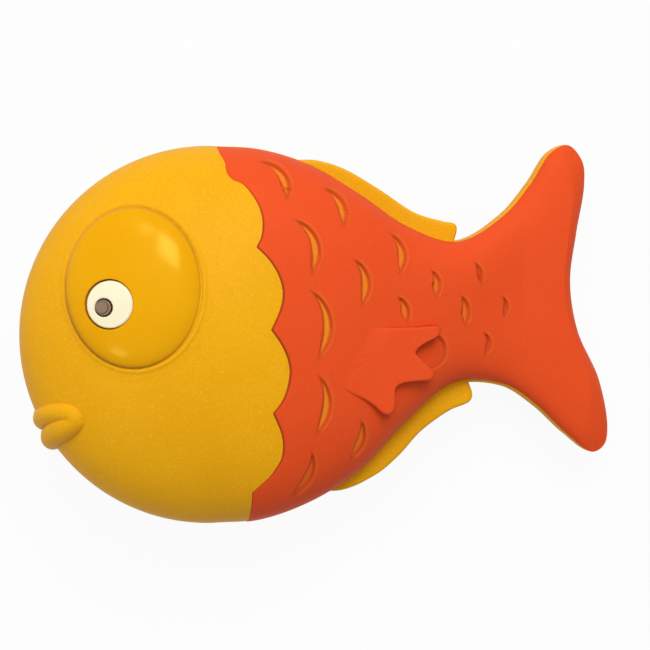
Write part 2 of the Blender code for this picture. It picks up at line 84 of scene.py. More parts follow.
def barBody(net):    # a net that closes round its columns, with a fan over each end
    rows, columns = net.shape[:2]
    points = np.vstack([net.reshape(-1, 3), net[0].mean(axis=0)[None], net[-1].mean(axis=0)[None]])
    v = np.arange(columns)
    after = (v + 1) % columns
    first, last = rows * columns, rows * columns + 1
    start = np.stack([np.full(columns, first), v, after], axis=1)
    end = np.stack([np.full(columns, last), after + (rows - 1) * columns, v + (rows - 1) * columns], axis=1)
    return points, np.vstack([netFaces(rows, columns, False, True), start, end])


def borderLoop(rows, columns):    # index numbers round the edge of a net, once
    index = np.arange(rows * columns).reshape(rows, columns)
    return np.concatenate([index[:-1, 0], index[-1, :-1], index[:0:-1, -1], index[0, :0:-1]])


def sheetBody(outer, inner, stride):    # a fine outside, a coarse inside and the edge between them
    rows, columns = outer.shape[:2]
    fine = borderLoop(rows, columns)
    coarse = borderLoop(inner.shape[0], inner.shape[1]) + rows * columns
    segment = np.arange(len(fine)) // stride
    edge = np.stack([fine, coarse[segment], np.roll(fine, -1)], axis=1)
    corner = np.stack([np.roll(fine[::stride], -1), coarse, np.roll(coarse, -1)], axis=1)
    inside = netFaces(inner.shape[0], inner.shape[1])[:, ::-1] + rows * columns
    points = np.vstack([outer.reshape(-1, 3), inner.reshape(-1, 3)])
    return points, np.vstack([netFaces(rows, columns), edge, corner, inside])


def facingOut(body):    # turned over if its volume is negative
    points, corners = body
    return (points, corners[:, ::-1]) if signedVolume(points, corners) < 0 else body


def putPiece(name, bodies, finish, rides, stands, side=1, values=None, sharp=50):    # bodies as one mesh
    points, corners, tint = [], [], {layer: [] for layer in values or {}}
    for number, body in enumerate(bodies):
        spots, faces = body
        spots, faces = facingOut((spots * [1, 1, side], faces))
        faces = faces + sum(len(done) for done in points)
        points.append(spots)
        corners.append(faces)
        for layer, kept in tint.items():
            given = np.zeros(len(spots))
            amounts = values[layer].get(number, given).ravel()
            given[:len(amounts)] = amounts
            kept.append(given)
    points, corners = np.vstack(points), np.vstack(corners)
    near = np.round(points * 1e4).astype(np.int64)    # points closer than a ten-thousandth of a millimetre are one
    first, index = np.unique(near, axis=0, return_index=True, return_inverse=True)[1:]
    corners = index.reshape(-1)[corners]
    whole = (corners != np.roll(corners, 1, axis=1)).all(axis=1)
    corners, points = corners[whole], points[first]
    mesh = bpy.data.meshes.new(name)
    mesh.vertices.add(len(points))
    mesh.vertices.foreach_set("co", layDown(points).astype(np.float32).ravel())
    mesh.loops.add(corners.size)
    mesh.loops.foreach_set("vertex_index", corners.astype(np.int32).ravel())
    mesh.polygons.add(len(corners))
    mesh.polygons.foreach_set("loop_start", np.arange(0, corners.size, 3, dtype=np.int32))
    mesh.update(calc_edges=True)
    mesh.validate()
    mesh.polygons.foreach_set("use_smooth", np.ones(len(mesh.polygons), bool))
    mesh.set_sharp_from_angle(angle=math.radians(sharp))
    for layer, kept in tint.items():
        made = mesh.attributes.new(layer, "FLOAT", "POINT")
        made.data.foreach_set("value", np.concatenate(kept)[first].astype(np.float32))
    piece = bpy.data.objects.new(name, mesh)
    bpy.context.scene.collection.objects.link(piece)
    mesh.materials.append(finish)
    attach(piece, rides)
    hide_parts(*stands)
    return piece


def smooth(value):    # an even S from 0 to 1
    value = np.clip(value, 0, 1)
    return value * value * (3 - 2 * value)


def evened(values, reach):    # the mean over so many neighbours on each side
    width = 2 * reach + 1
    return np.convolve(np.pad(values, reach, "edge"), np.full(width, 1 / width), "valid")


# Finishes: a colour that drifts, with paler specks and darker flecks, over a fine grain
def newFinish(name):
    finish = bpy.data.materials.new(name)
    finish.use_nodes = True
    nodes, links = finish.node_tree.nodes, finish.node_tree.links
    shader = nodes["Principled BSDF"]
    place = nodes.new("ShaderNodeTexCoord").outputs["Object"]
    return finish, nodes, links, shader, place


def noise(nodes, links, place, scale, detail, rough=0.5):
    made = nodes.new("ShaderNodeTexNoise")
    made.inputs["Scale"].default_value = scale
    made.inputs["Detail"].default_value = detail
    made.inputs["Roughness"].default_value = rough
    links.new(place, made.inputs["Vector"])
    return made.outputs["Fac"]


def ranged(nodes, links, value, low, high, fromLow=0.3, fromHigh=0.7):
    made = nodes.new("ShaderNodeMapRange")
    made.inputs["From Min"].default_value = fromLow
    made.inputs["From Max"].default_value = fromHigh
    made.inputs["To Min"].default_value = low
    made.inputs["To Max"].default_value = high
    links.new(value, made.inputs["Value"])
    return made.outputs["Result"]


def mixSockets(made):
    return [s for s in made.inputs if s.type == "RGBA"], [s for s in made.outputs if s.type == "RGBA"][0]


def blendColour(nodes, links, share, first, second):
    made = nodes.new("ShaderNodeMix")
    made.data_type = "RGBA"
    links.new(share, made.inputs[0])
    sockets, result = mixSockets(made)
    for socket, colour in zip(sockets, (first, second)):
        if isinstance(colour, tuple):
            socket.default_value = (*colour, 1)
        else:
            links.new(colour, socket)
    return result


def raised(nodes, links, shader, height, strength, distance):
    made = nodes.new("ShaderNodeBump")
    made.inputs["Strength"].default_value = strength
    made.inputs["Distance"].default_value = distance
    links.new(height, made.inputs["Height"])
    links.new(made.outputs["Normal"], shader.inputs["Normal"])


fullDot = 0.85    # the noise value at which a speck or fleck has its full colour


# The crease layer is painted shade: it darkens grooves, walls and edges where shade falls. The shade layer is a second
# colour: the bare yellow floor of the skin's windows, with a painted highlight on their lips, and the pale tops of the
# pupil's pin and button.
def mouldedFinish(name, look):    # shade and crease are values that some meshes hold at their points
    finish, nodes, links, shader, place = newFinish(name)
    drift = ranged(nodes, links, noise(nodes, links, place, look["driftScale"], 2), 0, 1)
    grain = noise(nodes, links, place, look["grainScale"], 2, 0.6)
    colour = blendColour(nodes, links, drift, look["colour"], look["drift"])
    for dot in ("speck", "fleck"):
        spread = noise(nodes, links, place, look[f"{dot}Scale"], 1)
        share = ranged(nodes, links, spread, 0, 1, look[f"{dot}From"], fullDot)
        colour = blendColour(nodes, links, share, colour, look[dot])
    for layerName in [layerName for layerName in ("shade", "creaseShade") if layerName in look]:
        layer = nodes.new("ShaderNodeAttribute")
        layer.attribute_name = layerName
        colour = blendColour(nodes, links, layer.outputs["Fac"], colour, look[layerName])
    links.new(colour, shader.inputs["Base Color"])
    links.new(ranged(nodes, links, grain, *look["roughness"]), shader.inputs["Roughness"])
    shader.inputs["Specular IOR Level"].default_value = look["gloss"]
    shader.inputs["Specular Tint"].default_value = (*look.get("tint", (1, 1, 1)), 1)
    raised(nodes, links, shader, grain, look["bump"], look["bumpHeight"])
    return finish


# Each crease colour below is painted shade, laid where a mesh marks a groove, wall or edge in shade.
yellowShell = mouldedFinish("yellow_shell_finish", {
    "colour": (0.83, 0.398, 0.004), "drift": (0.80, 0.375, 0.003), "speck": (0.93, 0.50, 0.02),
    "fleck": (0.70, 0.32, 0.004), "driftScale": 60, "grainScale": 2600, "speckScale": 2100, "speckFrom": 0.58,
    "fleckScale": 2500, "fleckFrom": 0.58, "roughness": (0.42, 0.58), "gloss": 0.12, "bump": 0.45,
    "bumpHeight": 0.00008, "creaseShade": (0.40, 0.17, 0.003)})
orangeSkin = mouldedFinish("orange_skin_finish", {
    "colour": (0.78, 0.082, 0.017), "drift": (0.76, 0.076, 0.015), "speck": (0.84, 0.11, 0.03),
    "fleck": (0.66, 0.055, 0.012), "driftScale": 55, "grainScale": 3200, "speckScale": 2300, "speckFrom": 0.63,
    "fleckScale": 2600, "fleckFrom": 0.63, "shade": (0.80, 0.26, 0.014), "creaseShade": (0.36, 0.045, 0.008),
    "roughness": (0.46, 0.58), "gloss": 0.07, "bump": 0.22, "bumpHeight": 0.00005})
polishedYellow = mouldedFinish("polished_yellow_finish", {
    "colour": (0.81, 0.376, 0.003), "drift": (0.79, 0.358, 0.002), "speck": (0.83, 0.40, 0.010),
    "fleck": (0.74, 0.33, 0.003), "driftScale": 70, "grainScale": 700, "speckScale": 1500, "speckFrom": 0.64,
    "fleckScale": 1700, "fleckFrom": 0.66, "roughness": (0.13, 0.19), "gloss": 0.42, "bump": 0.04,
    "bumpHeight": 0.00003, "tint": (1.0, 0.80, 0.16), "creaseShade": (0.40, 0.17, 0.003)})
creamEye = mouldedFinish("cream_eye_finish", {
    "colour": (0.93, 0.86, 0.60), "drift": (0.89, 0.83, 0.57), "speck": (0.95, 0.90, 0.66),
    "fleck": (0.62, 0.56, 0.36), "driftScale": 170, "grainScale": 2200, "speckScale": 900, "speckFrom": 0.66,
    "fleckScale": 620, "fleckFrom": 0.8, "roughness": (0.26, 0.36), "gloss": 0.45, "bump": 0.08,
    "bumpHeight": 0.00002})
# The pupil's base colour is painted shade on the sides of its pin and button; their tops take its paler shade colour.
brownPupil = mouldedFinish("brown_pupil_finish", {
    "colour": (0.040, 0.023, 0.013), "drift": (0.055, 0.033, 0.020), "speck": (0.09, 0.06, 0.04),
    "fleck": (0.02, 0.012, 0.008), "driftScale": 300, "grainScale": 2500, "speckScale": 1800, "speckFrom": 0.62,
    "fleckScale": 2100, "fleckFrom": 0.62, "shade": (0.26, 0.17, 0.105), "roughness": (0.30, 0.45), "gloss": 0.4,
    "bump": 0.2, "bumpHeight": 0.00003})
milkyKeeper = mouldedFinish("milky_keeper_finish", {
    "colour": (0.72, 0.70, 0.62), "drift": (0.68, 0.66, 0.57), "speck": (0.78, 0.76, 0.70),
    "fleck": (0.60, 0.58, 0.50), "driftScale": 120, "grainScale": 1800, "speckScale": 1200, "speckFrom": 0.62,
    "fleckScale": 1500, "fleckFrom": 0.64, "roughness": (0.38, 0.5), "gloss": 0.45, "bump": 0.2,
    "bumpHeight": 0.00004})
beadPlastic = mouldedFinish("bead_plastic_finish", {
    "colour": (0.26, 0.38, 0.56), "drift": (0.32, 0.45, 0.63), "speck": (0.42, 0.55, 0.70),
    "fleck": (0.18, 0.28, 0.45), "driftScale": 260, "grainScale": 2400, "speckScale": 1500, "speckFrom": 0.62,
    "fleckScale": 1900, "fleckFrom": 0.64, "roughness": (0.22, 0.34), "gloss": 0.5, "bump": 0.12,
    "bumpHeight": 0.00003})
print("finishes made")

# The body: nose to tail in rows, belly to back in columns, sizes in millimetres
bodyForm = {
    "headRadius": 44.38, "headX": -24.66, "headHalf": 22.0, "tailHalf": 5.6, "taperEnd": 50.0,
    "taperPower": 1.3, "headSquare": 2.0, "tailSquare": 3.6, "foot": 0.15, "bevelFrom": 0.45, "bevelDrop": 0.42,
    "bevelPower": 1.2, "endPower": 14, "pullSpans": 4, "pullPower": 1.5, "pullEdge": 14, "pullEdgePower": 6,
    "crowding": 0.2, "headRows": 96, "spanRows": 24,
    "back": [(-13.0, 43.7), (-1.0, 40.1), (10.6, 33.4), (21.9, 25.9), (34.0, 22.3), (45.0, 28.5), (51.5, 36.1),
             (56.5, 43.4), (60.9, 45.13)],
    "belly": [(-13.1, -43.6), (-1.0, -39.5), (10.6, -32.5), (21.3, -22.1), (33.6, -12.4), (45.5, -12.8),
              (53.3, -17.6), (60.7, -24.3), (67.3, -28.8)],
    "rear": [(67.3, -28.8), (70.3, -27.1), (71.14, -22.8), (68.9, -11.1), (63.6, 0.6), (61.7, 12.2), (63.1, 23.8),
             (65.0, 35.4), (64.5, 41.2), (60.9, 45.13)],
}


def through(points, steps):    # a cubic through every point, its pace the root of each chord
    p = np.asarray(points, float)
    t = np.append(0, np.cumsum(np.sqrt(np.linalg.norm(np.diff(p, axis=0), axis=1))))
    slope = np.gradient(p, t, axis=0)
    u = np.linspace(0, 1, steps, endpoint=False)[None, :, None]
    h = np.diff(t)[:, None, None]
    start, end, slopeStart, slopeEnd = [a[:, None] for a in (p[:-1], p[1:], slope[:-1], slope[1:])]
    made = ((2 * u**3 - 3 * u**2 + 1) * start + (u**3 - 2 * u**2 + u) * h * slopeStart
            + (3 * u**2 - 2 * u**3) * end + (u**3 - u**2) * h * slopeEnd)
    return np.vstack([made.reshape(-1, p.shape[1]), p[-1:]])


def inwards(curve):    # the way in from an outline that runs clockwise
    along = np.gradient(curve, axis=0)
    along /= np.linalg.norm(along, axis=1)[:, None]
    return np.stack([along[:, 1], -along[:, 0]], axis=1)


def fishOutline():    # from the crown along the back, round the tail and along the belly to the chin
    crown = [(bodyForm["headX"], bodyForm["headRadius"])]
    chin = [(bodyForm["headX"], -bodyForm["headRadius"])]
    return through(crown + bodyForm["back"] + bodyForm["rear"][-2:0:-1] + bodyForm["belly"][::-1] + chin,
                   bodyForm["spanRows"])


def fishEdges(inset):    # the inset is one number, or one for each point of the outline from crown to chin
    turn = np.linspace(math.pi, math.pi / 2, bodyForm["headRows"], endpoint=False)
    radius = bodyForm["headRadius"] - np.ravel(inset)[0]
    head = np.stack([bodyForm["headX"] + radius * np.cos(turn), radius * np.sin(turn)], axis=1)
    whole = fishOutline()
    whole = whole + np.reshape(inset, (-1, 1)) * inwards(whole)
    upper = bodyForm["spanRows"] * len(bodyForm["back"])
    lower = upper + bodyForm["spanRows"] * (len(bodyForm["rear"]) - 1)
    back = np.vstack([head, whole[:upper + 1]])
    belly = np.vstack([head * [1, -1], whole[:lower - 1:-1]])
    return back, belly, whole[lower:upper - 1:-1]


# Each row runs from belly to back, and its height is a squared-off ellipse of the row's half thickness.
# The last rows are pulled to the tail's rear edge, where a bevel and a rounded end close them.
def fishLoft(lift, inset, rise, foot):
    back, belly, rear = fishEdges(inset)
    count, step = len(back), bodyForm["spanRows"]
    share = (lift + 1) / 2
    flat = belly[:, None] * (1 - share)[None, :, None] + back[:, None] * share[None, :, None]
    run = np.append(0, np.cumsum(np.linalg.norm(np.diff(rear, axis=0), axis=1)))
    edge = np.stack([np.interp(share * run[-1], run, rear[:, k]) for k in (0, 1)], axis=1)
    number = np.arange(count)
    pullRows = bodyForm["pullSpans"] * step
    nearing = np.clip((number - (count - 1 - pullRows)) / pullRows, 0, 1)
    pull = nearing[:, None] ** (bodyForm["pullPower"]
                                + bodyForm["pullEdge"] * np.abs(lift)[None] ** bodyForm["pullEdgePower"])
    middle = flat.mean(axis=1)[:, 0]
    flat = flat + pull[:, :, None] * (edge - flat[-1])[None]
    fall = np.clip((middle - bodyForm["headX"]) / (bodyForm["taperEnd"] - bodyForm["headX"]), 0, 1)
    taper = np.cos(fall * math.pi / 2) ** bodyForm["taperPower"]
    thick = bodyForm["tailHalf"] + (bodyForm["headHalf"] - bodyForm["tailHalf"]) * taper + rise
    rows = bodyForm["headRows"]
    thick[:rows] = (bodyForm["headHalf"] + rise) * np.sin(np.linspace(0, math.pi / 2, rows, endpoint=False))
    power = (bodyForm["headSquare"] + (bodyForm["tailSquare"] - bodyForm["headSquare"]) * fall)[:, None]
    ending = np.clip((number - (count - 1 - step)) / step, 0, 1)
    bevel = np.clip((ending - bodyForm["bevelFrom"]) / (1 - bodyForm["bevelFrom"]), 0, 1)
    thick = thick * (1 - bodyForm["bevelDrop"] * bevel ** bodyForm["bevelPower"])
    thick = thick * (1 - ending ** bodyForm["endPower"]) ** 0.5
    high = thick[:, None] * np.clip(1 - np.abs(lift)[None] ** power, 0, 1) ** (1 / power)
    high = (high**4 + foot**4) ** 0.25    # never lower than the foot, without a corner
    return np.dstack([flat, high])


def acrossBody(columns):    # even over the middle, a little closer at the edges
    t = np.linspace(-1, 1, columns)
    return t * (1 + bodyForm["crowding"] - bodyForm["crowding"] * t**4)


def sampled(net, rowsAt):    # points of each column at fractional row numbers
    low = np.clip(np.floor(rowsAt).astype(int), 0, len(net) - 2)
    part = (rowsAt - low)[..., None]
    columns = np.arange(net.shape[1])[None]
    return net[low, columns] * (1 - part) + net[low + 1, columns] * part


def netNormals(net):    # square to the steps along rows and columns
    made = np.cross(np.gradient(net, axis=0), np.gradient(net, axis=1))
    return made / np.maximum(np.linalg.norm(made, axis=2), 1e-9)[..., None]


# The edge where the orange skin begins: six bows that meet in points
scallops = [
    [(-24.6, 50.0), (-24.1, 43.3), (-23.0, 40.4), (-22.2, 37.6), (-21.7, 36.9)],
    [(-21.7, 36.9), (-21.0, 36.2), (-18.6, 35.1), (-16.6, 32.8), (-15.1, 30.2), (-14.4, 27.8), (-14.3, 25.4),
     (-14.7, 23.0), (-15.8, 20.8)],
    [(-15.8, 20.8), (-13.8, 18.9), (-12.0, 16.6), (-10.8, 14.4), (-10.0, 11.8), (-9.9, 9.4), (-10.5, 6.7),
     (-11.5, 4.3), (-12.6, 2.1)],
    [(-12.6, 2.1), (-10.9, -0.2), (-9.7, -2.3), (-8.7, -4.8), (-8.3, -7.2), (-8.5, -9.6), (-9.1, -12.1),
     (-10.2, -14.5), (-12.1, -16.9)],
    [(-12.1, -16.9), (-11.1, -19.1), (-10.0, -21.9), (-9.6, -24.7), (-9.9, -27.6), (-11.0, -29.8), (-12.5, -32.0),
     (-14.5, -34.0), (-16.4, -35.8)],
    [(-16.4, -35.8), (-16.4, -38.0), (-16.6, -40.9), (-16.9, -43.2), (-17.4, -50.0)],
]
bowSteps = 6
scallopLine = np.vstack([through(bow, bowSteps)[:-1] for bow in scallops] + [np.array(scallops[-1][-1:])])[::-1]


def scallopRows(net):    # where each column crosses the scalloped edge, as a fractional row number
    ahead = net[..., 0] - np.interp(net[..., 1], scallopLine[:, 1], scallopLine[:, 0])
    after = np.argmax(ahead > 0, axis=0)
    columns = np.arange(net.shape[1])
    before, past = ahead[after - 1, columns], ahead[after, columns]
    return after - 1 - before / (past - before)


# Yellow shell: head cap, rim, edge fins, lips and the ring round the eye dome
shellForm = {
    "columns": 209, "rows": 193, "wall": 1.6, "underSkin": 2.0, "stride": 8,
    "rim": [(2.6, 0.15), (0.10, 0.15), (0.05, 0.5), (0.06, 1.1), (0.10, 1.6), (0.18, 2.0), (0.32, 2.28),
            (0.52, 2.41), (0.85, 2.46), (2.6, 2.46)],    # distance in, height
    "finRound": [(1.1, 2.0), (0.8, 1.985), (0.55, 1.93), (0.34, 1.82), (0.18, 1.65), (0.07, 1.42), (0.01, 1.1),
                 (0.0, 0.7), (0.0, 0.15)],
    "finSteps": 24, "finAcross": 9,
    "backFin": [(-8.0, 40.8), (-4.2, 41.2), (0.5, 41.1), (6.9, 39.2), (15.5, 34.3), (24.1, 28.8), (30.9, 26.8),
                (33.7, 26.2), (34.2, 25.2), (33.4, 21.5)],
    "backFinRoot": [(-4.0, 36.9), (10.1, 29.0), (24.3, 21.0)],
    "bellyFin": [(2.0, -37.2), (5.8, -37.2), (9.5, -36.2), (13.2, -34.4), (16.3, -32.5), (20.6, -28.7),
                 (25.7, -23.2), (32.6, -18.4), (37.4, -16.3), (38.1, -14.8), (36.7, -10.4)],
    "bellyFinRoot": [(5.0, -32.0), (18.2, -20.3), (28.5, -11.3)],
}


def headCap():    # the body's surface from the nose to just under the skin's edge, with a wall
    lift = acrossBody(shellForm["columns"])
    net = fishLoft(lift, 0, 0, bodyForm["foot"])
    last = scallopRows(net) + shellForm["underSkin"]
    pace = np.linspace(0, 1, shellForm["rows"])[:, None]
    outer = sampled(net, last[None] * pace)
    stride = shellForm["stride"]
    under = fishLoft(lift, shellForm["wall"], -shellForm["wall"], bodyForm["foot"])
    inner = sampled(under, last[None] * pace)[::stride, ::stride]
    return sheetBody(outer, inner, stride)


def rimRail():    # the rim's profile carried along the outline
    curve = fishOutline()
    way = inwards(curve)
    profile = np.array(shellForm["rim"])
    flat = curve[:, None] + way[:, None] * profile[None, :, :1]
    return barBody(np.dstack([flat, np.broadcast_to(profile[None, :, 1], flat.shape[:2])]))


def edgeFin(outline, root):    # flat from its root to a rounded profile that is carried along the outline
    curve = through(outline, shellForm["finSteps"])
    steps = np.append(0, np.cumsum(np.linalg.norm(np.diff(curve, axis=0), axis=1)))
    share = np.linspace(0, 1, len(root))
    base = np.stack([np.interp(steps / steps[-1], share, np.array(root)[:, k]) for k in (0, 1)], axis=1)
    way = inwards(curve)
    if np.einsum("ij,ij->i", way, base - curve).sum() < 0:
        way = -way
    profile = np.array(shellForm["finRound"])
    rounded = curve[:, None] + way[:, None] * profile[None, :, :1]
    across = shellForm["finAcross"]
    part = np.linspace(1, 0, across, endpoint=False)[None, :, None]
    top = base[:, None] * part + rounded[:, :1] * (1 - part)
    flat = np.concatenate([top, rounded, base[:, None]], axis=1)
    high = np.concatenate([np.full(across, profile[0, 1]), profile[:, 1], [bodyForm["foot"]]])
    return barBody(np.dstack([flat, np.broadcast_to(high[None], flat.shape[:2])]))


# Lips: one soft tube that runs over the nose, round the corner of the mouth and back under it
lipForm = {"middleY": -22.0, "cornerRise": 4.1, "halfGap": 2.15, "reach": 12.25, "turns": (0, 45, 90, 130, 180),
           "fat": (2.5, 2.65, 2.6, 3.4, 2.65), "sink": (1.05, 1.0, 1.1, 1.2, 0.5), "gapPower": 0.7,
           "reachPower": 0.85, "along": 121, "evenOver": 12, "around": 48}


def noseX(y, z):    # the head is an ellipsoid
    radius = bodyForm["headRadius"]
    return bodyForm["headX"] - np.sqrt(radius**2 * (1 - (z / bodyForm["headHalf"]) ** 2) - y**2)


def lips():    # circles along half an oval that is laid on the nose, sunk a little and fatter at the corner
    turn = np.linspace(0, math.pi, lipForm["along"])
    swing = np.cos(turn)
    y = (lipForm["middleY"] + lipForm["cornerRise"] * np.sin(turn)
         + lipForm["halfGap"] * np.sign(swing) * np.abs(swing) ** lipForm["gapPower"])
    z = lipForm["reach"] * np.clip(np.sin(turn), 0, 1) ** lipForm["reachPower"]
    z[[0, -1]] = 0
    out = np.stack([(noseX(y, z) - bodyForm["headX"]) / bodyForm["headRadius"] ** 2,
                    y / bodyForm["headRadius"] ** 2, z / bodyForm["headHalf"] ** 2], axis=1)
    out /= np.linalg.norm(out, axis=1)[:, None]
    fat, sink = [evened(np.interp(np.degrees(turn), lipForm["turns"], lipForm[k]), lipForm["evenOver"])
                 for k in ("fat", "sink")]
    path = np.stack([noseX(y, z), y, z], axis=1) - out * sink[:, None]
    along = np.gradient(path, axis=0)
    along /= np.linalg.norm(along, axis=1)[:, None]
    beside = np.cross(along, out)
    beside /= np.linalg.norm(beside, axis=1)[:, None]
    around = np.linspace(0, 2 * math.pi, lipForm["around"], endpoint=False)
    net = path[:, None] + fat[:, None, None] * (out[:, None] * np.cos(around)[None, :, None]
                                                + beside[:, None] * np.sin(around)[None, :, None])
    net[..., 2] = np.maximum(net[..., 2], bodyForm["foot"])
    return barBody(net)


# Eye dome: an oval polished lens that leans with the cheek, pierced for the eye
domeForm = {"x": -43.16, "y": 11.7, "halfLength": 15.0, "halfHeight": 18.0, "rise": 3.97, "fullness": 0.6, "sink": 1.1,
            "leanX": 0.18, "leanY": -0.12, "depth": 4.0, "eyeX": -48.76, "eyeY": 8.0, "eyeSpan": 5.3,
            "boreRadius": 5.66, "boreDrop": 0.08, "boreRound": 0.3, "around": 256, "across": 56, "acrossPower": 1.15,
            "edgeShade": 0.55, "edgeRun": 0.7}


def cheek(x, y):    # height of the head's ellipsoid
    out = ((x - bodyForm["headX"]) ** 2 + y**2) / bodyForm["headRadius"] ** 2
    return bodyForm["headHalf"] * np.sqrt(np.clip(1 - out, 0, 1))


def domeTop(x, y):    # a leaning plane and a bulge that falls to nothing at the oval's edge
    dx, dy = x - domeForm["x"], y - domeForm["y"]
    out = np.clip((dx / domeForm["halfLength"]) ** 2 + (dy / domeForm["halfHeight"]) ** 2, 0, 1)
    base = cheek(domeForm["x"], domeForm["y"]) - domeForm["sink"]
    bulge = domeForm["rise"] * (1 - out) ** domeForm["fullness"]
    return base + domeForm["leanX"] * dx + domeForm["leanY"] * dy + bulge


def eyeFrame():    # the eye's middle and three directions, the last square to the dome
    x, y, step = domeForm["eyeX"], domeForm["eyeY"], domeForm["eyeSpan"]
    slopeX = (domeTop(x + step, y) - domeTop(x - step, y)) / (2 * step)
    slopeY = (domeTop(x, y + step) - domeTop(x, y - step)) / (2 * step)
    up = np.array([-slopeX, -slopeY, 1.0])
    up /= np.linalg.norm(up)
    right = np.array([1.0, 0, 0]) - up * up[0]
    right /= np.linalg.norm(right)
    return np.array([x, y, float(domeTop(x, y))]), np.stack([right, np.cross(up, right), up])


eyeMiddle, eyeAxes = eyeFrame()


def onEye(points):    # from the eye's own right, up and out to the fish
    return np.asarray(points) @ eyeAxes + eyeMiddle


def roundLoop(radius, count, x=0.0, y=0.0):    # points round a circle
    turn = np.linspace(0, 2 * math.pi, count, endpoint=False)
    return np.stack([x + radius * np.cos(turn), y + radius * np.sin(turn)], axis=1)


def eyeDome():    # rays from the bore to the oval edge, lifted to the dome's height, and a wall under both
    count = domeForm["around"]
    ring = roundLoop(domeForm["boreRadius"], count)
    bore = onEye(np.column_stack([ring, np.zeros(count)]))[:, :2]
    oval = roundLoop(1.0, count) * [domeForm["halfLength"], domeForm["halfHeight"]]
    edge = oval + [domeForm["x"], domeForm["y"]]
    share = np.sin(np.linspace(0, math.pi / 2, domeForm["across"])) ** domeForm["acrossPower"]
    flat = bore[:, None] + (edge - bore)[:, None] * share[None, :, None]
    high = domeTop(flat[..., 0], flat[..., 1])
    nearBore = np.linalg.norm(flat - bore[:, None], axis=2)
    high = high - domeForm["boreDrop"] * np.clip(1 - nearBore / domeForm["boreRound"], 0, 1) ** 2
    top = np.dstack([flat, high])
    down = eyeAxes[2] * domeForm["depth"]
    under = np.concatenate([top[:, -1:] - [0, 0, domeForm["depth"]], top[:, :1] - down], axis=1)
    # painted shade darkens the dome towards its oval edge, where it dips into the groove
    nearEdge = np.linalg.norm(flat - edge[:, None], axis=2)
    dark = domeForm["edgeShade"] * (1 - smooth(nearEdge / domeForm["edgeRun"]))
    return ringBody(np.concatenate([top, under], axis=1)), np.pad(dark, ((0, 0), (0, 2)))


# A moulded ring on the cheek: a fine groove against the dome, then a soft lip that dies away
ringForm = {"from": -0.25, "reach": 3.6, "depth": 1.0, "above": 0.01, "groove": 0.40, "grooveFrom": -0.2,
            "grooveRun": 0.5, "lip": 0.10, "lipTo": 0.5, "bead": 0.22, "beadFrom": 0.3, "beadRun": 0.5, "beadTo": 0.8,
            "beadFall": 0.9, "sink": 0.06, "sinkRun": 0.9, "across": 32, "around": 360, "shade": 0.75,
            "shadeRun": 0.45}


def cheekRing():    # one profile of heights over the cheek, carried outwards from the dome's edge
    count = ringForm["around"]
    edge = roundLoop(1.0, count) * [domeForm["halfLength"], domeForm["halfHeight"]]
    way = roundLoop(1.0, count) * [domeForm["halfHeight"], domeForm["halfLength"]]
    way /= np.linalg.norm(way, axis=1)[:, None]
    out = np.linspace(ringForm["from"], ringForm["reach"], ringForm["across"])
    flat = edge[:, None] + way[:, None] * out[None, :, None] + [domeForm["x"], domeForm["y"]]
    fade = 1 - smooth((out - ringForm["lipTo"]) / (ringForm["reach"] - ringForm["lipTo"]))
    groove = 1 - smooth((out - ringForm["grooveFrom"]) / ringForm["grooveRun"])
    bead = (smooth((out - ringForm["beadFrom"]) / ringForm["beadRun"])
            * (1 - smooth((out - ringForm["beadTo"]) / ringForm["beadFall"])))
    ending = smooth((out - ringForm["reach"]) / ringForm["sinkRun"] + 1)    # dips under the cheek
    form = (ringForm["lip"] * fade - (ringForm["groove"] + ringForm["lip"]) * groove + ringForm["bead"] * bead
            - ringForm["sink"] * ending)
    high = cheek(flat[..., 0], flat[..., 1]) + form[None] + ringForm["above"]
    top = np.dstack([flat, high])
    under = np.concatenate([top[:, -1:], top[:, :1]], axis=1) - [0, 0, ringForm["depth"]]
    # painted shade darkens the groove against the dome
    dark = np.append(ringForm["shade"] * (1 - smooth(out / ringForm["shadeRun"])), [0, 0])
    return ringBody(np.concatenate([top, under], axis=1)), np.broadcast_to(dark, (count, len(dark)))


cheekBody, cheekShade = cheekRing()
domeBody, domeShade = eyeDome()
shellBodies = [headCap(), rimRail(), edgeFin(shellForm["backFin"], shellForm["backFinRoot"]),
               edgeFin(shellForm["bellyFin"], shellForm["bellyFinRoot"]), lips(), cheekBody]
for name, side in (("left", 1), ("right", -1)):
    putPiece(f"{name}_shell_form", shellBodies, yellowShell, "fish", [f"{name}_shell"], side,
             {"creaseShade": {len(shellBodies) - 1: cheekShade}})
    putPiece(f"{name}_eye_dome_form", [domeBody], polishedYellow, "fish", [f"{name}_eye_dome"],
             side, {"creaseShade": {0: domeShade}})
print("shells and eye domes made")

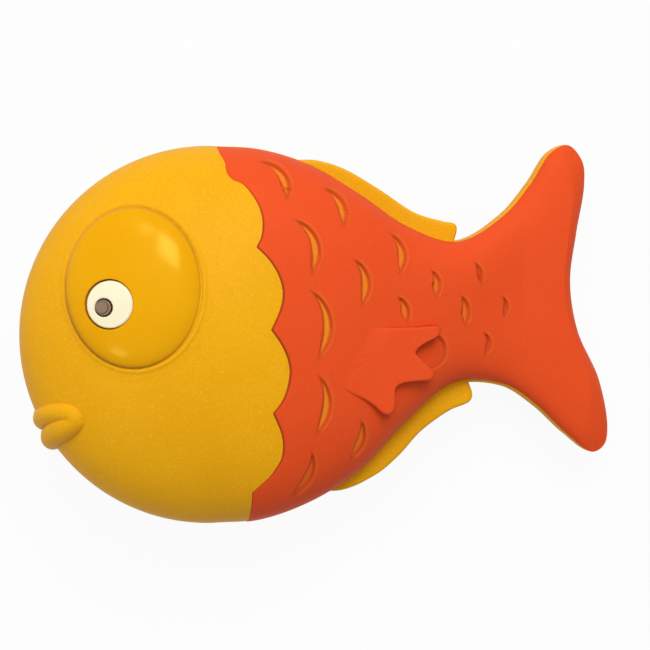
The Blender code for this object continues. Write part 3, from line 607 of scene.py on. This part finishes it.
# Orange skin: stands a little proud, with crescent windows down to the yellow, and carries the side fin
skinForm = {
    "proud": 0.49, "thick": 1.7, "foot": 2.56, "columns": 329, "rows": 281, "stride": 8, "edgeRows": 9,
    "edgePace": 0.0085, "edgeDrop": 0.85, "edgeRound": 0.95, "edgeLine": 0.95, "lineFrom": 0.32, "lineRun": 0.5,
    "windowWidth": 2.20, "windowDepth": 0.65, "grooveDepth": 0.6, "lip": 0.14, "grooveLip": 0.7, "lipHighlight": 0.22,
    "clearEdge": 0.97,    # no window or groove in the columns beyond this
    "ledge": [0.25, 0.25, 0.25, 0.25, 0.25, 0.30, 0.45, 0.45, 0.35, 0.10, 0.05, 0.05, 0.05, 0.05, 0.05, 0.05, 0.05,
              0.05, 0.05, 0.30, 0.50, 0.70, 0.90, 0.90, 0.40, 0.05, 0.05, 0.05],
    # crescents: tip, bulge, tip, then how bare a window is or how wide a groove is
    "windows": [((-13.3, 40.3), (-7.2, 36.1), (-8.2, 31.7), 0.8), ((1.0, 34.1), (6.2, 28.8), (4.9, 25.5), 0.8),
                ((-6.6, 26.9), (-0.7, 20.5), (-3.0, 14.6), 0.9), ((7.1, 17.9), (11.1, 12.0), (8.9, 7.4), 0.85),
                ((16.6, 23.7), (20.2, 18.9), (18.2, 14.7), 0.7), ((26.1, 15.3), (28.5, 12.6), (27.2, 8.8), 0.5),
                ((17.7, 9.2), (20.7, 5.6), (20.0, 3.2), 0.55), ((33.5, 9.3), (35.9, 5.7), (34.6, 2.2), 0.4),
                ((-3.2, 10.8), (1.9, 3.0), (-1.4, -4.4), 1.0), ((-1.4, -8.5), (1.8, -15.8), (-1.6, -22.0), 0.9),
                ((8.9, -19.1), (10.3, -22.0), (7.0, -28.4), 0.6),
                ((-2.6, -26.2), (-1.6, -30.6), (-6.4, -36.9), 0.4)],
    "grooves": [((37.1, 17.1), (39.1, 14.5), (38.8, 11.9), 1.3), ((44.0, 9.0), (45.7, 6.5), (44.4, 4.1), 1.2),
                ((28.2, 0.0), (29.9, -2.9), (26.9, -7.7), 6.5), ((39.3, 0.6), (41.3, -2.0), (39.6, -5.0), 1.2)],
}

# A crescent's section from its outer edge inwards: raised lip, wall, bare floor and inner edge
crescentForm = {
    "taperSkew": 1.3, "taperPower": 0.65, "endOver": 0.04, "endRun": 0.2, "lineOver": 0.1, "lineRun": 0.16,
    "wallMost": 0.65, "wallShare": 0.35, "wallLeast": 0.1, "floorOver": 0.2, "floorRun": 0.45, "bareOver": 0.12,
    "bareRun": 0.3, "wallLine": 0.6, "wallLineAt": 0.6, "wallLineWide": 0.28, "innerLine": 0.65, "innerLineAt": 0.05,
    "innerLineWide": 0.22, "lipAt": 0.28, "lipWide": 0.26,
}


def skinLedge():    # how far the rim shows beyond the skin, round the outline from crown to chin
    given = np.array(skinForm["ledge"])
    number = np.arange((len(given) - 1) * bodyForm["spanRows"] + 1) / bodyForm["spanRows"]
    return evened(np.interp(number, np.arange(len(given)), given), bodyForm["spanRows"] // 2)


# How deep, how bare, how raised and how darkened by painted shade each point is: h is its height over the arc through
# three points, s its share of the way along that arc, and the section is narrower towards the tips
def crescent(flat, mark, width):
    form = crescentForm
    tip, bulge, tail = [np.array(p) for p in mark[:3]]
    middle = np.linalg.solve(2 * np.array([bulge - tip, tail - tip]),
                             np.array([bulge @ bulge - tip @ tip, tail @ tail - tip @ tip]))
    radius = np.linalg.norm(tip - middle)
    ends = [math.atan2(*(p - middle)[::-1]) for p in (tip, tail)]
    turn = (ends[1] - ends[0] + math.pi) % (2 * math.pi) - math.pi
    away = flat - middle
    angle = (np.arctan2(away[..., 1], away[..., 0]) - ends[0] - turn / 2 + math.pi) % (2 * math.pi) - math.pi
    s = angle / turn + 0.5
    h = np.linalg.norm(away, axis=2) - radius
    taper = np.clip(np.sin(math.pi * np.clip(s, 0, 1) ** form["taperSkew"]), 0, 1) ** form["taperPower"]
    held = smooth((s + form["endOver"]) / form["endRun"]) * smooth((1 + form["endOver"] - s) / form["endRun"])
    line = smooth((s + form["lineOver"]) / form["lineRun"]) * smooth((1 + form["lineOver"] - s) / form["lineRun"])
    if width > radius:    # a whole round dish, part of it under the side fin
        taper = held = line = np.ones_like(s)
    wide = width * taper
    wall = np.minimum(form["wallMost"], form["wallShare"] * wide + form["wallLeast"])
    deep = smooth(-h / (wall + form["wallLeast"])) * smooth((h + wide + form["floorOver"]) / form["floorRun"]) * held
    bare = smooth((-h - wall + form["bareOver"]) / form["bareRun"]) * smooth((h + wide) / form["bareRun"]) * held
    # painted shade: dark lines down the wall and along the inner edge, where the window's sides lie in shade
    wallLine = form["wallLine"] * np.exp(-((h + form["wallLineAt"] * wall) / form["wallLineWide"]) ** 2)
    innerLine = form["innerLine"] * np.exp(-((h + wide + form["innerLineAt"]) / form["innerLineWide"]) ** 2)
    creaseShade = np.maximum(wallLine, innerLine) * line
    lip = np.exp(-((h - form["lipAt"]) / form["lipWide"]) ** 2) * held
    return np.stack([deep, bare, creaseShade, lip])


def skinSheet():    # the body's surface from the scalloped edge to the tail, moved along its normals by the relief
    lift = acrossBody(skinForm["columns"])
    ledge = skinLedge()
    net = fishLoft(lift, ledge, skinForm["proud"], skinForm["foot"])
    first = scallopRows(net)
    last = len(net) - 1
    few = skinForm["edgeRows"]
    pace = np.concatenate([np.linspace(0, skinForm["edgePace"], few),
                           np.linspace(skinForm["edgePace"], 1, skinForm["rows"] - few + 1)[1:]])[:, None]
    rowsAt = first[None] + (last - first)[None] * pace
    outer = sampled(net, rowsAt)
    flat = outer[..., :2]
    window = np.zeros((4, *flat.shape[:2]))
    for mark in skinForm["windows"]:
        scale = np.array([1, mark[3], 1, 1])[:, None, None]
        window = np.maximum(window, crescent(flat, mark, skinForm["windowWidth"]) * scale)
    groove = np.zeros((4, *flat.shape[:2]))
    for mark in skinForm["grooves"]:
        groove = np.maximum(groove, crescent(flat, mark, mark[3]))
    fromEdge = np.linalg.norm(flat - flat[:1], axis=2)
    over = np.sqrt(np.clip(1 - (1 - np.clip(fromEdge / skinForm["edgeRound"], 0, 1)) ** 2, 0, 1))
    relief = (skinForm["lip"] * np.maximum(window[3], skinForm["grooveLip"] * groove[3])
              - skinForm["windowDepth"] * window[0] - skinForm["grooveDepth"] * groove[0])
    rise = relief * (np.abs(lift)[None] < skinForm["clearEdge"]) - skinForm["edgeDrop"] * (1 - over)
    outer = outer + netNormals(outer) * rise[..., None]
    # painted shade: a dark line along the scalloped edge, where the skin's step stands in shade
    edgeLine = skinForm["edgeLine"] * (1 - smooth((fromEdge - skinForm["lineFrom"]) / skinForm["lineRun"]))
    creaseShade = np.maximum.reduce([window[2], groove[2], edgeLine])
    # the window floors show the yellow beneath; the lips of windows and grooves get a painted highlight
    bare = np.maximum.reduce([window[1], skinForm["lipHighlight"] * window[3], skinForm["lipHighlight"] * groove[3]])
    stride = skinForm["stride"]
    under = fishLoft(lift, ledge + skinForm["thick"], skinForm["proud"] - skinForm["thick"], skinForm["foot"])
    inner = sampled(under, rowsAt)[::stride, ::stride]
    return sheetBody(outer, inner, stride), {"shade": {0: bare}, "creaseShade": {0: creaseShade}}


# Side fin: a flat star with soft edges that rises out of the skin towards the tail
sideFinForm = {
    "star": [(6.1, 2.6), (10.4, 2.5), (18.1, 2.2), (23.0, 2.3), (26.7, 2.6), (27.5, 2.4), (27.7, 0.9), (27.1, 0.1),
             (24.2, -1.2), (22.4, -2.4), (21.4, -3.8), (23.0, -5.2), (24.7, -6.8), (26.0, -8.2), (26.2, -9.4),
             (25.0, -10.2), (23.0, -10.2), (19.9, -10.4), (17.7, -10.9), (16.6, -12.1), (16.7, -14.2),
             (16.6, -16.3), (16.1, -17.6), (14.8, -18.1), (13.5, -17.4), (11.9, -15.8), (9.4, -14.2), (6.4, -12.9),
             (3.2, -11.3), (-0.9, -9.6), (0.8, -3.8)],
    "cornerRounds": 3, "frontX": 2.7, "frontZ": 18.5, "slope": -0.12, "middle": (12.5, -4.5), "blend": 0.4,
    "under": 0.1, "frontLine": (8.5, 2.5, -1.2, -11.1), "frontRun": 9.0, "wallShade": 0.45, "wallRun": 0.5,
    "foot": 1.1, "skinSpan": (-4, 34), "skinReach": 0.9, "skinColumns": 121, "skinBlur": 0.05,
    "edge": [(0.05, 6.0), (0.3, 6.0), (0.55, 6.0), (0.8, 6.0), (1.025, 6.0), (1.0, 0.9), (0.998, 0.55), (0.99, 0.3),
             (0.976, 0.13), (0.955, 0.04), (0.92, 0.0), (0.84, 0.0), (0.76, 0.0), (0.68, 0.0), (0.6, 0.0),
             (0.52, 0.0), (0.44, 0.0), (0.36, 0.0), (0.28, 0.0), (0.2, 0.0), (0.12, 0.0),
             (0.02, 0.0)],    # share of the way to the outline, depth under the top
}


def softened(points, rounds):    # each round cuts every corner at a quarter of its sides
    p = np.array(points, float)
    for step in range(rounds):
        after = np.roll(p, -1, axis=0)
        p = np.stack([p * 0.75 + after * 0.25, p * 0.25 + after * 0.75], axis=1).reshape(-1, 2)
    return p


def skinHeight(flat):    # height of the skin over points of the plan, weighed from the points of the loft near them
    lift = np.linspace(-sideFinForm["skinReach"], sideFinForm["skinReach"], sideFinForm["skinColumns"])
    net = fishLoft(lift, skinLedge(), skinForm["proud"], skinForm["foot"])[::2].reshape(-1, 3)
    front, rear = sideFinForm["skinSpan"]
    net = net[(net[:, 0] > front) & (net[:, 0] < rear)]
    apart = ((flat[:, None] - net[None, :, :2]) ** 2).sum(axis=2)
    weight = 1 / (apart + sideFinForm["skinBlur"]) ** 2
    return (weight * net[None, :, 2]).sum(axis=1) / weight.sum(axis=1)


def sideFin():    # the star drawn in towards its middle, on a plane that blends into the skin
    star = softened(sideFinForm["star"], sideFinForm["cornerRounds"])
    middle = np.array(sideFinForm["middle"])
    edge = np.array(sideFinForm["edge"])
    flat = middle + (star - middle)[None] * edge[:, :1, None]
    plane = sideFinForm["frontZ"] + sideFinForm["slope"] * (flat[..., 0] - sideFinForm["frontX"])
    skin = skinHeight(flat.reshape(-1, 2)).reshape(plane.shape)
    blend = sideFinForm["blend"]
    x0, y0, x1, y1 = sideFinForm["frontLine"]
    ahead = x1 + (x0 - x1) * (flat[..., 1] - y1) / (y0 - y1) - flat[..., 0]
    lifted = blend * np.logaddexp(0, (plane - skin) / blend)
    behind = smooth(-ahead / sideFinForm["frontRun"])    # it rises behind the front line
    top = skin - sideFinForm["under"] + lifted * behind
    # painted shade: the fin's walls darken the deeper they go under its top, where the fin shades the skin
    dark = sideFinForm["wallShade"] * smooth(edge[:, 1:2] / sideFinForm["wallRun"])
    dark = np.broadcast_to(dark, flat.shape[:2])
    high = np.maximum(top - edge[:, 1:2], skin - sideFinForm["foot"])    # the underside stays in the skin's wall
    return barBody(np.dstack([flat, high])), dark


skinBody, skinTint = skinSheet()
finBody, finShade = sideFin()
skinTint["creaseShade"][1] = finShade
for name, side in (("left", 1), ("right", -1)):
    putPiece(f"{name}_skin_form", [skinBody, finBody], orangeSkin, "fish", [f"{name}_skin"], side,
             skinTint, sharp=80)
print("skins made")

# Eye: a cream disc in the dome's bore with a stepped brown pin set off its middle
eyeForm = {
    "radius": 5.32, "crownW": -0.10, "crown": 0.38, "depth": 3.4, "holeDrop": 0.15, "holeRound": 0.3, "rimDrop": 0.25,
    "rimRound": 0.35, "rows": 24, "rimFrom": 0.9, "rimShares": (0.94, 0.97, 0.985, 0.995, 1.0), "around": 128,
    "pinX": -1.3, "pinY": -0.7, "pinHole": 2.12, "pinRadius": 1.80, "pinProud": 0.10, "pinDepth": 2.4, "pinEdge": 0.12,
    "buttonX": -0.32, "buttonY": 0.05, "buttonRadius": 1.42, "buttonProud": 0.38, "buttonDepth": 2.0,
    "buttonEdge": 0.14, "pinAround": 64, "edgeSteps": 7, "topSteps": 7, "topMiddle": 0.02, "lightFrom": 0.02,
    "lightRun": 0.1,
}


def discTop(x, y):    # a shallow bowl turned over
    return eyeForm["crownW"] - eyeForm["crown"] * (x**2 + y**2) / eyeForm["radius"] ** 2


def eyeball():    # rays from the pin's hole to the rim, with both edges eased, and a wall under them
    count = eyeForm["around"]
    hole = roundLoop(eyeForm["pinHole"], count, eyeForm["pinX"], eyeForm["pinY"])
    rim = roundLoop(eyeForm["radius"], count)
    share = np.concatenate([np.linspace(0, eyeForm["rimFrom"], eyeForm["rows"]), eyeForm["rimShares"]])
    flat = hole[:, None] + (rim - hole)[:, None] * share[None, :, None]
    fromHole = np.linalg.norm(flat - hole[:, None], axis=2)
    fromRim = np.linalg.norm(flat - rim[:, None], axis=2)
    high = discTop(flat[..., 0], flat[..., 1])
    high = high - eyeForm["holeDrop"] * np.clip(1 - fromHole / eyeForm["holeRound"], 0, 1) ** 2
    high = high - eyeForm["rimDrop"] * np.clip(1 - fromRim / eyeForm["rimRound"], 0, 1) ** 2
    top = np.dstack([flat, high])
    under = np.concatenate([top[:, -1:], top[:, :1]], axis=1)
    under[..., 2] = -eyeForm["depth"]
    net = np.concatenate([top, under], axis=1)
    return ringBody(onEye(net.reshape(-1, 3)).reshape(net.shape))


def stepPin(x, y, radius, top, foot, softEdge):    # a turned profile: straight side, quarter round and flat top
    turn = np.linspace(0, math.pi / 2, eyeForm["edgeSteps"])
    flatTop = np.linspace(radius - softEdge, eyeForm["topMiddle"], eyeForm["topSteps"] + 1)[1:]
    out = np.concatenate([[radius], radius - softEdge * (1 - np.cos(turn)), flatTop])
    high = np.concatenate([[foot], top - softEdge * (1 - np.sin(turn)), np.full(eyeForm["topSteps"], top)])
    loop = roundLoop(1.0, eyeForm["pinAround"])
    flat = loop[None] * out[:, None, None] + [x, y]
    net = np.dstack([flat, np.broadcast_to(high[:, None], flat.shape[:2])])
    return barBody(onEye(net.reshape(-1, 3)).reshape(net.shape)), out


def pupil():    # a pin with a button on it, both paler on top than round the side
    bodies, light = [], {}
    level = float(discTop(eyeForm["pinX"], eyeForm["pinY"]))
    places = {"pin": (eyeForm["pinX"], eyeForm["pinY"]),
              "button": (eyeForm["pinX"] + eyeForm["buttonX"], eyeForm["pinY"] + eyeForm["buttonY"])}
    for number, (step, (x, y)) in enumerate(places.items()):
        radius = eyeForm[f"{step}Radius"]
        body, out = stepPin(x, y, radius, level + eyeForm[f"{step}Proud"], level - eyeForm[f"{step}Depth"],
                            eyeForm[f"{step}Edge"])
        # painted shade: the sides of pin and button keep the dark base colour, their tops turn pale
        pale = smooth((radius - eyeForm["lightFrom"] - out) / eyeForm["lightRun"])
        bodies.append(body)
        light[number] = np.append(np.repeat(pale, eyeForm["pinAround"]), [0, 1])    # then the middles of its ends
    return bodies, {"shade": light}


pinBodies, pinLight = pupil()
for name, side in (("left", 1), ("right", -1)):
    putPiece(f"{name}_eyeball_form", [eyeball()], creamEye, f"{name}_eye", [f"{name}_eyeball"], side)
    putPiece(f"{name}_pupil_form", pinBodies, brownPupil, f"{name}_eye", [f"{name}_pupil"], side,
             pinLight)
print("eyes made")

# Pieces that keep their solids: the keepers behind the eyes and the beads that rattle
for nodeName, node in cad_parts.items():
    if nodeName.endswith("keeper") or "bead" in nodeName:
        node.material_slots[0].material = milkyKeeper if nodeName.endswith("keeper") else beadPlastic
print("keepers and beads finished")

# Floor: pale grey under the lamps, so that it keeps a faint shadow, and nearly white to the camera and in gloss
floorForm = {"half": 3.0, "colour": (0.75, 0.75, 0.75), "roughness": 0.9, "whiteShare": 0.94}
floorMesh = bpy.data.meshes.new("floor")
half = floorForm["half"]
floorMesh.from_pydata([(-half, -half, 0), (half, -half, 0), (half, half, 0), (-half, half, 0)], [], [(0, 1, 2, 3)])
floor = bpy.data.objects.new("floor", floorMesh)
bpy.context.scene.collection.objects.link(floor)
floorFinish, nodes, links, shader, place = newFinish("floor_finish")
shader.inputs["Base Color"].default_value = (*floorForm["colour"], 1)
shader.inputs["Roughness"].default_value = floorForm["roughness"]
white = nodes.new("ShaderNodeEmission")
white.inputs["Color"].default_value = (1, 1, 1, 1)
rays = nodes.new("ShaderNodeLightPath")
shown = rays.outputs["Is Camera Ray"]
for kind in ("Is Glossy Ray", "Is Transmission Ray"):    # gloss shows the same white floor
    either = nodes.new("ShaderNodeMath")
    either.operation = "MAXIMUM"
    links.new(shown, either.inputs[0])
    links.new(rays.outputs[kind], either.inputs[1])
    shown = either.outputs[0]
seen = nodes.new("ShaderNodeMath")
seen.operation = "MULTIPLY"
seen.inputs[1].default_value = floorForm["whiteShare"]
links.new(shown, seen.inputs[0])
both = nodes.new("ShaderNodeMixShader")
links.new(seen.outputs[0], both.inputs[0])
links.new(shader.outputs[0], both.inputs[1])
links.new(white.outputs[0], both.inputs[2])
links.new(both.outputs[0], nodes["Material Output"].inputs["Surface"])
floorMesh.materials.append(floorFinish)

# Light: a broad lamp over the fish's back, another by its nose, three small ones seen in its gloss, and a pale room
lampTarget = Vector((0, 0, 0.02))
roomLight = 0.33
lampForm = {
    "key": {"place": (0.12, 0.68, 0.98), "size": 0.90, "power": 8.6, "shine": False},
    "side": {"place": (-0.85, 0.10, 0.50), "size": 0.70, "power": 1.7, "shine": False},
    "spark": {"place": (0.13, 0.37, 0.535), "size": 0.19, "power": 0.85, "shine": True},
    "band": {"place": (-0.04, 0.50, 0.52), "size": 0.12, "power": 0.16, "shine": True},
    "low": {"place": (-0.27, -0.27, 0.56), "size": 0.13, "power": 0.20, "shine": True},
}
for name, look in lampForm.items():
    lamp = bpy.data.lights.new(name, "AREA")
    lamp.shape = "SQUARE"
    lamp.size = look["size"]
    lamp.energy = look["power"]
    lampObject = bpy.data.objects.new(name, lamp)
    lampObject.location = look["place"]
    lampObject.rotation_euler = (lampTarget - Vector(look["place"])).to_track_quat("-Z", "Y").to_euler()
    lampObject.visible_glossy = look["shine"]
    bpy.context.scene.collection.objects.link(lampObject)
world = bpy.data.worlds.new("pale_room")
world.use_nodes = True
bpy.context.scene.world = world
room = world.node_tree.nodes["Background"]
room.inputs["Color"].default_value = (1, 1, 1, 1)
room.inputs["Strength"].default_value = roomLight
print("floor and lamps made")

# Camera: over the fish, a little towards its nose, its up along the fish's own up
cameraForm = {"place": (-58.0, 22.0, 445.0), "target": (2.634, 2.183, 0.0), "acrossAtTarget": 154.25,
              "clipStart": 0.01}
eyePoint, target = [layDown(np.array([cameraForm[k]]))[0] for k in ("place", "target")]
back = (eyePoint - target) / np.linalg.norm(eyePoint - target)
up = fishTurn @ np.array([0, 1.0, 0])
right = np.cross(up, back)
right /= np.linalg.norm(right)
up = np.cross(back, right)
camera = bpy.data.objects.new("camera", bpy.data.cameras.new("camera"))
camera.matrix_world = Matrix([[*pair] for pair in np.column_stack([right, up, back, eyePoint])] + [[0, 0, 0, 1]])
camera.data.angle = 2 * math.atan(cameraForm["acrossAtTarget"] * mm / 2 / np.linalg.norm(eyePoint - target))
camera.data.clip_start = cameraForm["clipStart"]
bpy.context.scene.collection.objects.link(camera)
bpy.context.scene.camera = camera
bpy.context.scene.view_settings.view_transform = "Standard"
print("camera set")
